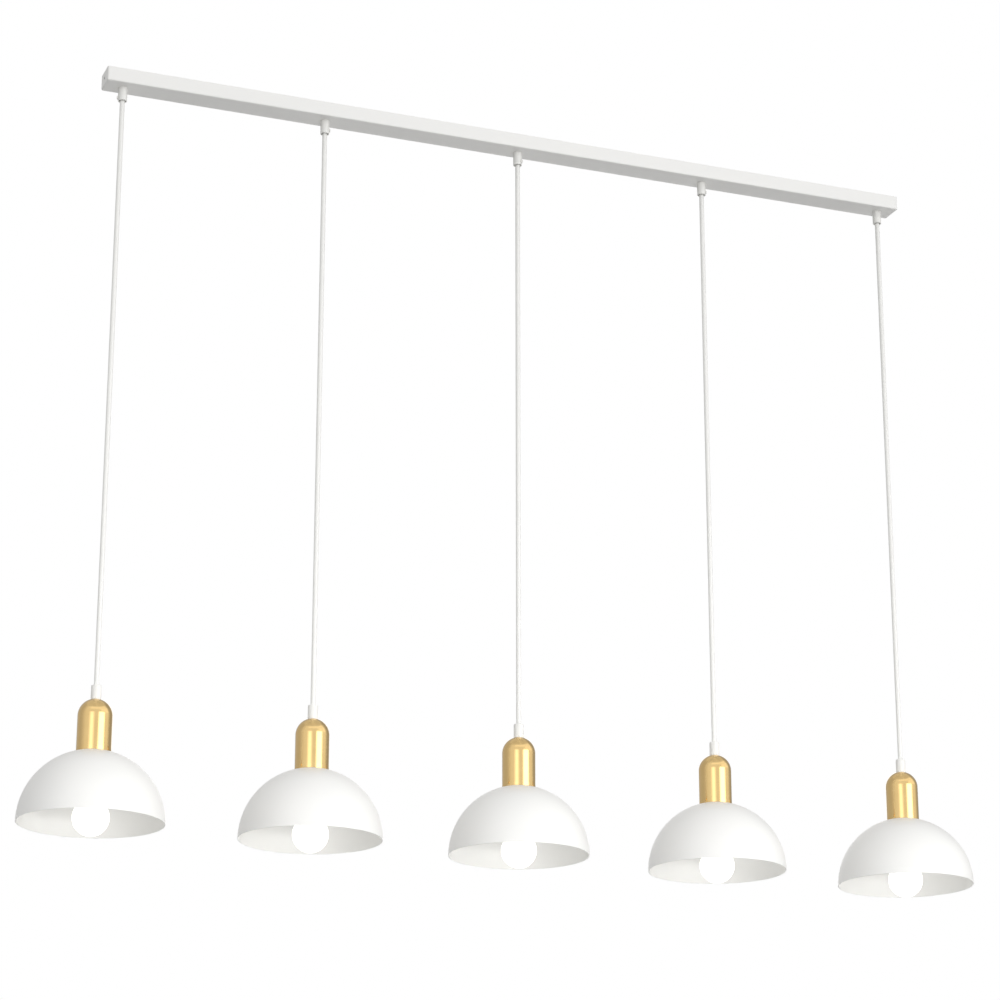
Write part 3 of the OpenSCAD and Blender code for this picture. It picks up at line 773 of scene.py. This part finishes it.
def core_route(i, pole):
    """Middle line of one core: up out of the grip, over, out to its lane and along to the block."""
    side = 1 if AXIS[i] < BLOCK_X else -1
    from_turn = math.radians(CORE_TURNS[pole])
    start = Vector((CORE_RING_R * math.cos(from_turn), CORE_RING_R * math.sin(from_turn)))
    lane_turn = math.radians(CORE_LANES[i])
    lane_y = (pole - 1) * POLE_PITCH + CORE_RING_R * math.cos(lane_turn)
    lane_z = LANE_Z + CORE_RING_R * math.sin(lane_turn)
    turn = math.atan2(lane_y - start.y, FAN_L - start.x)
    low_z = GRIP_TOP_Z + BEND_R
    route = [(start.x, start.y, TAIL_TOP_Z), (start.x, start.y, GRIP_TOP_Z)]
    for degrees in (30, 60, 90):
        angle = math.radians(degrees)
        out = BEND_R * (1 - math.cos(angle))
        route.append((start.x + out * math.cos(turn), start.y + out * math.sin(turn),
                      GRIP_TOP_Z + BEND_R * math.sin(angle)))
    for t in (0.0, 0.25, 0.5, 0.75, 1.0):
        route.append((FAN_L + t * CLIMB_L, lane_y, low_z + t * t * (3 - 2 * t) * (lane_z - low_z)))
    route.append((abs(BLOCK_X - AXIS[i]) - CLAMP_L / 2 + WIRE_HOLD, lane_y, lane_z))
    return [(AXIS[i] + side * x, y, z) for x, y, z in route]


def tail_outline():
    """The end of a cord's sheath, held in its grip."""
    return softened([
        (0.0, TAIL_TOP_Z), (CORD_R, TAIL_TOP_Z), (CORD_R, TAIL_END_Z), (0.0, TAIL_END_Z)], 0.3)


for pole, insulation in enumerate(CORES):
    routes = [[Vector(p) for p in core_route(i, pole)] for i in PENDANTS]
    bar_cores = swept(f"bar_cores_{pole + 1}", routes, CORE_R, insulation)
    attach(bar_cores, "bar")
    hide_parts("inner_wires")

for i in PENDANTS:
    tail = turned(f"cord_tail_{i}", tail_outline(), cord_vinyl, AXIS[i], sides=32)
    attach(tail, "bar")
    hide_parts("cord_tails")


# One pendant after another

CAP_FOOT_Z = RIM_Z + math.sqrt(SHADE_R ** 2 - CAP_R ** 2)
FERRULE_WEB_Z = CORD_END_Z - 0.06
STEM_TOP_Z = stem_high.z
STEM_END_Z = stem_low.z
THREAD_PITCH = 1.0
THREAD_DEPTH = 0.3
HOLDER_R = (holder_high.x - holder_low.x) / 2
HOLDER_TOP_Z = holder_high.z
HOLDER_MOUTH_Z = holder_low.z
FLUTES = 24
FLUTE_DEPTH = 0.5
FLUTE_TOP_Z = HOLDER_TOP_Z - 14.5
FLUTE_END_Z = HOLDER_TOP_Z - 25.5
SOCKET_R = 13.9
SOCKET_ROOF_Z = -933.0
CHAMBER_LOW_Z = SOCKET_ROOF_Z + 3.5
BULB_R = (globe_high.x - globe_low.x) / 2
BULB_Z = globe_low.z + BULB_R
NECK_R = 12.4
NECK_TOP_Z = globe_high.z
NECK_CURVE = 8.0
GLASS = 0.8


def shade_outline():
    """A pressed dome of even wall, with its rim rounded over."""
    top_out = math.degrees(math.acos(HOLE_R / SHADE_R))
    inner_r = SHADE_R - SHADE_WALL
    top_in = math.degrees(math.acos(HOLE_R / inner_r))
    # At this angle the rounding of the rim begins
    rim_angle = 0.35
    outside = arc(0, RIM_Z, SHADE_R, top_out, rim_angle, 56)
    rim = arc(SHADE_R - SHADE_WALL / 2, RIM_Z + SHADE_WALL / 2, SHADE_WALL / 2, 0, -180, 8)
    inside = arc(0, RIM_Z, inner_r, rim_angle, top_in, 56)
    return outside + rim + inside


def cap_outline():
    """A spun bullet cap: a straight side under a half-round dome, its foot cut to the shade."""
    inner_r = CAP_R - CAP_WALL
    top_out = math.degrees(math.acos(HOLE_R / CAP_R))
    top_in = math.degrees(math.acos(HOLE_R / inner_r))
    inner_foot = RIM_Z + math.sqrt((SHADE_R + SEAT_GAP) ** 2 - inner_r ** 2)
    foot = [
        (CAP_R, CAP_FOOT_Z + 0.25), (CAP_R - 0.07, CAP_FOOT_Z + 0.1),
        (CAP_R - 0.22, CAP_FOOT_Z + 0.08), (inner_r, inner_foot + 0.02)]
    side = [(CAP_R, DOME_Z - (DOME_Z - CAP_FOOT_Z) * n / 8) for n in range(1, 8)]
    outside = arc(0, DOME_Z, CAP_R, top_out, 0, 32)
    inside = arc(0, DOME_Z, inner_r, 0, top_in, 24)
    return outside + side + foot + inside


def ferrule_outline():
    """A moulded ferrule: it holds the cord's end and screws down on the stem over the cap."""
    core_hole_r = CORE_RING_R + CORE_R + 0.2
    seat_r = CAP_R + SEAT_GAP
    seat_steps = 6
    seat = []
    for step in range(seat_steps + 1):
        radius = FERRULE_R + (THREAD_BORE_R - FERRULE_R) * step / seat_steps
        seat.append((radius, DOME_Z + math.sqrt(seat_r ** 2 - radius ** 2)))
    upper = softened([
        (core_hole_r, FERRULE_WEB_Z), (CORD_BORE_R, FERRULE_WEB_Z), (CORD_BORE_R, FERRULE_TOP_Z),
        (FERRULE_R, FERRULE_TOP_Z), (FERRULE_R, seat[0][1])], 0.8, keep=(0, 1, 4))
    return upper + seat[1:] + [(THREAD_BORE_R, STEM_TOP_Z), (core_hole_r, STEM_TOP_Z)]


def stem_outline():
    """The M10 tube with its fine thread of 1 mm pitch."""
    root_r = STEM_R - THREAD_DEPTH
    outline = []
    z = STEM_TOP_Z - 0.3
    while z > STEM_END_Z + 0.8:
        outline += [(STEM_R, z), (root_r, z - THREAD_PITCH / 2)]
        z -= THREAD_PITCH
    ends = [
        (root_r, STEM_END_Z), (STEM_R - STEM_WALL, STEM_END_Z),
        (STEM_R - STEM_WALL, STEM_TOP_Z), (root_r, STEM_TOP_Z)]
    return outline + ends


def holder_outline():
    """The lampholder: a collar and a shoulder on the stem, a fluted body and a stepped skirt."""
    collar_r = 7.0
    shoulder_z = HOLDER_TOP_Z - 11.5
    chamber_r = HOLDER_R - 4
    skirt_z = HOLDER_MOUTH_Z + 7
    skirt_r = HOLDER_R - 1.8
    return softened([
        (THREAD_BORE_R, HOLDER_TOP_Z), (collar_r, HOLDER_TOP_Z), (collar_r, HOLDER_TOP_Z - 2.5),
        (12.0, HOLDER_TOP_Z - 4), (HOLDER_R, shoulder_z), (HOLDER_R, FLUTE_TOP_Z),
        (HOLDER_R, FLUTE_END_Z), (HOLDER_R, FLUTE_END_Z - 1),
        (HOLDER_R, skirt_z), (skirt_r, skirt_z - 2), (skirt_r, HOLDER_MOUTH_Z),
        (SOCKET_R, HOLDER_MOUTH_Z), (SOCKET_R, SOCKET_ROOF_Z), (0.0, SOCKET_ROOF_Z),
        (0.0, CHAMBER_LOW_Z), (chamber_r, CHAMBER_LOW_Z), (chamber_r, shoulder_z - 1.5),
        (THREAD_BORE_R, STEM_END_Z - 0.5)], 0.7, keep=(0, 5, 6, 7, 12, 15, 17))


def globe_outline():
    """A blown globe of even wall with a curve into its neck."""
    def side(grow):
        radius = BULB_R + grow
        curve_r = NECK_CURVE - grow
        reach = NECK_R + NECK_CURVE
        lift = math.sqrt((BULB_R + NECK_CURVE) ** 2 - reach ** 2)
        meet = math.degrees(math.atan2(lift, reach))
        ball = arc(0, BULB_Z, radius, -90, meet, 48)
        neck = arc(reach, BULB_Z + lift, curve_r, 180 + meet, 180, 8)
        return ball + neck[1:] + [(NECK_R + grow, NECK_TOP_Z)]
    return side(0.0) + list(reversed(side(-GLASS)))


def low_core_route(turn_degrees):
    """Middle line of one core from the cord's end down the stem and out to its terminal."""
    post_off = 7.5
    post_top_z = CHAMBER_LOW_Z + 5.5
    swing_top_z = STEM_END_Z + 1
    swing_l = swing_top_z - post_top_z - 1
    route = [(CORE_RING_R, CORD_END_Z), (CORE_RING_R, swing_top_z)]
    for t in (0.2, 0.35, 0.5, 0.65, 0.8, 1.0):
        swing = t * t * (3 - 2 * t)
        route.append((CORE_RING_R + swing * (post_off - CORE_RING_R), swing_top_z - t * swing_l))
    route.append((post_off, post_top_z - 3.2))
    turn = math.radians(turn_degrees)
    return [Vector((r * math.cos(turn), r * math.sin(turn), z)) for r, z in route]


for i in PENDANTS:
    body = f"pendant_{i}"
    shade = turned(f"dome_shade_{i}", shade_outline(), powder_coat, AXIS[i], sides=144)
    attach(shade, body)
    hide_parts(f"shade_{i}")

    cap = turned(f"bullet_cap_{i}", cap_outline(), brass, AXIS[i])
    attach(cap, body)
    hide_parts(f"cap_{i}")

    ferrule = turned(f"cord_ferrule_{i}", ferrule_outline(), grip_nylon, AXIS[i], sides=64)
    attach(ferrule, body)
    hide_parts(f"ferrule_{i}")

    stem = turned(f"threaded_stem_{i}", stem_outline(), zinc_plate, AXIS[i], sides=48)
    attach(stem, body)
    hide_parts(f"stem_{i}")

    holder = turned(
        f"lampholder_{i}", holder_outline(), holder_plastic, AXIS[i], sides=144,
        flutes=FLUTES, flute_depth=FLUTE_DEPTH, flute_span=(FLUTE_END_Z - 0.1, FLUTE_TOP_Z + 0.1))
    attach(holder, body)
    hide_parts(f"holder_{i}")

    for number, (turn, insulation) in enumerate(zip(CORE_TURNS, CORES), 1):
        route = [p + Vector((AXIS[i], 0.0, 0.0)) for p in low_core_route(turn)]
        core = swept(f"stem_core_{i}_{number}", [smooth_path(route, 3.0)], CORE_R, insulation)
        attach(core, body)
        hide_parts(f"cord_{i}")

    globe = turned(f"opal_globe_{i}", globe_outline(), opal, AXIS[i])
    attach(globe, f"bulb_{i}")
    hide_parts(f"bulb_globe_{i}")


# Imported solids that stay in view, with the finish of the real piece

KEPT = {
    "ceiling_bracket": zinc_plate,
    "end_screws": zinc_plate,
    "locknuts": zinc_plate,
    "terminal_block": ivory_nylon,
    "terminal_clamps": stamped_brass,
}
for i in PENDANTS:
    KEPT[f"holder_contacts_{i}"] = stamped_brass
    KEPT[f"bulb_base_{i}"] = nickel_plate
for name, finish in KEPT.items():
    mesh = nodes[name].data
    mesh.materials.clear()
    mesh.materials.append(finish)


# Studio: a pale floor, soft lamps, a white surround, and cards that only gloss reflects

# The floor lies low, so that the light is also seen from steeply below
FLOOR_Z = -6.5
FLOOR_HALF = 21.0
# The cards stand round a point at the height of the caps
CARDS_Z = -0.9
CARD_COLUMNS = 40
CARD_ROWS = 16
# White things see a brighter surround above than below; what the eye and gloss see is plain white
SURROUND_ABOVE = 0.74
SURROUND_BELOW = 0.335

floor_mesh = bpy.data.meshes.new("floor")
floor_mesh.from_pydata(
    [(-FLOOR_HALF, -FLOOR_HALF, FLOOR_Z), (FLOOR_HALF, -FLOOR_HALF, FLOOR_Z),
     (FLOOR_HALF, FLOOR_HALF, FLOOR_Z), (-FLOOR_HALF, FLOOR_HALF, FLOOR_Z)], [], [(0, 1, 2, 3)])
floor_mesh.materials.append(matte_floor())
floor = bpy.data.objects.new("floor", floor_mesh)
bpy.context.scene.collection.objects.link(floor)
# The lamps and the surround reach the light from below too, as if the floor were far away
floor.visible_diffuse = False
floor.visible_shadow = False
unlit_by_key = bpy.data.collections.new("unlit_by_key")
unlit_by_key.objects.link(floor)
unlit_by_key.collection_objects[0].light_linking.link_state = "EXCLUDE"


def soft_sun(name, from_direction, level, angle):
    """A soft lamp from one direction. Level is how bright it makes a white surface that faces it."""
    data = bpy.data.lights.new(name, "SUN")
    data.energy = level * math.pi
    data.angle = math.radians(angle)
    lamp = bpy.data.objects.new(name, data)
    lamp.rotation_euler = Vector(from_direction).to_track_quat("Z", "Y").to_euler()
    lamp.visible_glossy = False
    bpy.context.scene.collection.objects.link(lamp)
    return lamp


def softbox(name, location, aim, width, height, glow):
    """A flat lamp that faces aim. Glow is the brightness of its face."""
    data = bpy.data.lights.new(name, "AREA")
    data.shape = "RECTANGLE"
    data.size = width
    data.size_y = height
    data.energy = glow * math.pi * width * height
    lamp = bpy.data.objects.new(name, data)
    lamp.location = location
    facing = Vector(aim) - Vector(location)
    lamp.rotation_euler = facing.to_track_quat("-Z", "Y").to_euler()
    lamp.visible_camera = False
    lamp.visible_glossy = False
    bpy.context.scene.collection.objects.link(lamp)
    return lamp


# The key stands low in front and leans away, so that it reaches into the shades and spares the bar
low_key = softbox("low_key", (0.63, -3.04, -2.44), (0.53, -2.53, -2.98), 3.2, 1.17, 14.0)
low_key.light_linking.receiver_collection = unlit_by_key
soft_sun("frontal_fill", (0.2, -0.975, 0.1), 0.265, 45)
soft_sun("rim_from_behind", (0.25, 0.95, 0.25), 0.3, 40)
# The dark side of each shade's inside gets a low lamp of its own
shades_only = bpy.data.collections.new("shades_only")
for i in PENDANTS:
    shades_only.objects.link(bpy.data.objects[f"dome_shade_{i}"])
into_the_shades = soft_sun("into_the_shades", (-0.557, 0.663, -0.5), 0.12, 50)
into_the_shades.light_linking.receiver_collection = shades_only


def soft_edge(place, low, high, soft):
    """How much of a card covers a place between its edges: 0 at an edge, 1 from soft inside it."""
    inside = min(place - low, high - place) / soft
    return 0.5 - 0.5 * math.cos(math.pi * min(max(inside, 0.0), 1.0))


def card_glow(name, brightness):
    """A plain glow, clear where the mesh says that the card covers nothing."""
    material, tree = new_material(name)
    covered = add_node(tree, "ShaderNodeAttribute", {"attribute_name": "cover"})
    glow = add_node(tree, "ShaderNodeEmission", {"Strength": brightness})
    clear = add_node(tree, "ShaderNodeBsdfTransparent")
    faded = add_node(
        tree, "ShaderNodeMixShader",
        links={0: covered.outputs["Fac"], 1: clear.outputs[0], 2: glow.outputs[0]})
    add_node(tree, "ShaderNodeOutputMaterial", links={"Surface": faded.outputs[0]})
    return material


def card(name, azimuths, elevations, brightness, soft, distance):
    """A card with soft edges that only gloss reflects. Angles are in degrees, seen from the
    caps, and azimuths run from -Y towards +X."""
    places = []
    cover = []
    for row in range(CARD_ROWS + 1):
        elevation = elevations[0] + (elevations[1] - elevations[0]) * row / CARD_ROWS
        rise = math.radians(elevation)
        level = distance * math.cos(rise)
        for column in range(CARD_COLUMNS + 1):
            azimuth = azimuths[0] + (azimuths[1] - azimuths[0]) * column / CARD_COLUMNS
            turn = math.radians(azimuth)
            places.append((
                level * math.sin(turn), -level * math.cos(turn),
                distance * math.sin(rise) + CARDS_Z))
            cover.append(
                soft_edge(azimuth, *azimuths, soft[0]) * soft_edge(elevation, *elevations, soft[1]))
    faces = []
    for row in range(CARD_ROWS):
        for column in range(CARD_COLUMNS):
            corner = row * (CARD_COLUMNS + 1) + column
            above = corner + CARD_COLUMNS + 1
            faces.append((corner, corner + 1, above + 1, above))
    mesh = bpy.data.meshes.new(name)
    mesh.from_pydata(places, [], faces)
    mesh.attributes.new("cover", "FLOAT", "POINT").data.foreach_set("value", cover)
    mesh.materials.append(card_glow(name, brightness))
    sheet = bpy.data.objects.new(name, mesh)
    bpy.context.scene.collection.objects.link(sheet)
    sheet.visible_camera = False
    sheet.visible_diffuse = False
    sheet.visible_transmission = False
    sheet.visible_shadow = False


card("white_softbox", (3, 57), (-24, 19), 3.4, (15, 4), 20.0)
card("pale_softbox", (-58, -12), (-24, 19), 2.2, (23, 5), 20.5)
card("glow_over_softbox", (18, 92), (12, 44), 1.28, (14, 8), 21.0)
card("ceiling_strip", (-70, 95), (30, 56), 1.25, (30, 9), 21.5)
card("dim_ceiling", (0, 360), (45, 90), 0.76, (0.01, 14), 22.0)
card("grey_behind_right", (72, 200), (-40, 70), 0.45, (36, 12), 22.5)
card("grey_behind_left", (120, 296), (-40, 70), 0.6, (56, 12), 23.0)
card("strip_behind", (138, 176), (-30, 34), 1.7, (15, 10), 19.5)

world = bpy.data.worlds.new("studio")
world.use_nodes = True
tree = world.node_tree
tree.nodes.clear()
toward = add_node(
    tree, "ShaderNodeSeparateXYZ",
    links={"Vector": add_node(tree, "ShaderNodeTexCoord").outputs["Generated"]})
surround = add_node(
    tree, "ShaderNodeMapRange",
    {"From Min": -0.2, "From Max": 0.2, "To Min": SURROUND_BELOW, "To Max": SURROUND_ABOVE},
    {"Value": toward.outputs["Z"]})
level = add_node(
    tree, "ShaderNodeMapRange", {"To Max": 1.0},
    {"Value": seen_directly(tree), "To Min": surround.outputs[0]})
white = add_node(
    tree, "ShaderNodeBackground", {"Color": (1.0, 1.0, 1.0, 1.0)}, {"Strength": level.outputs[0]})
add_node(tree, "ShaderNodeOutputWorld", links={"Surface": white.outputs[0]})
bpy.context.scene.world = world

view = bpy.context.scene.view_settings
view.view_transform = "Standard"
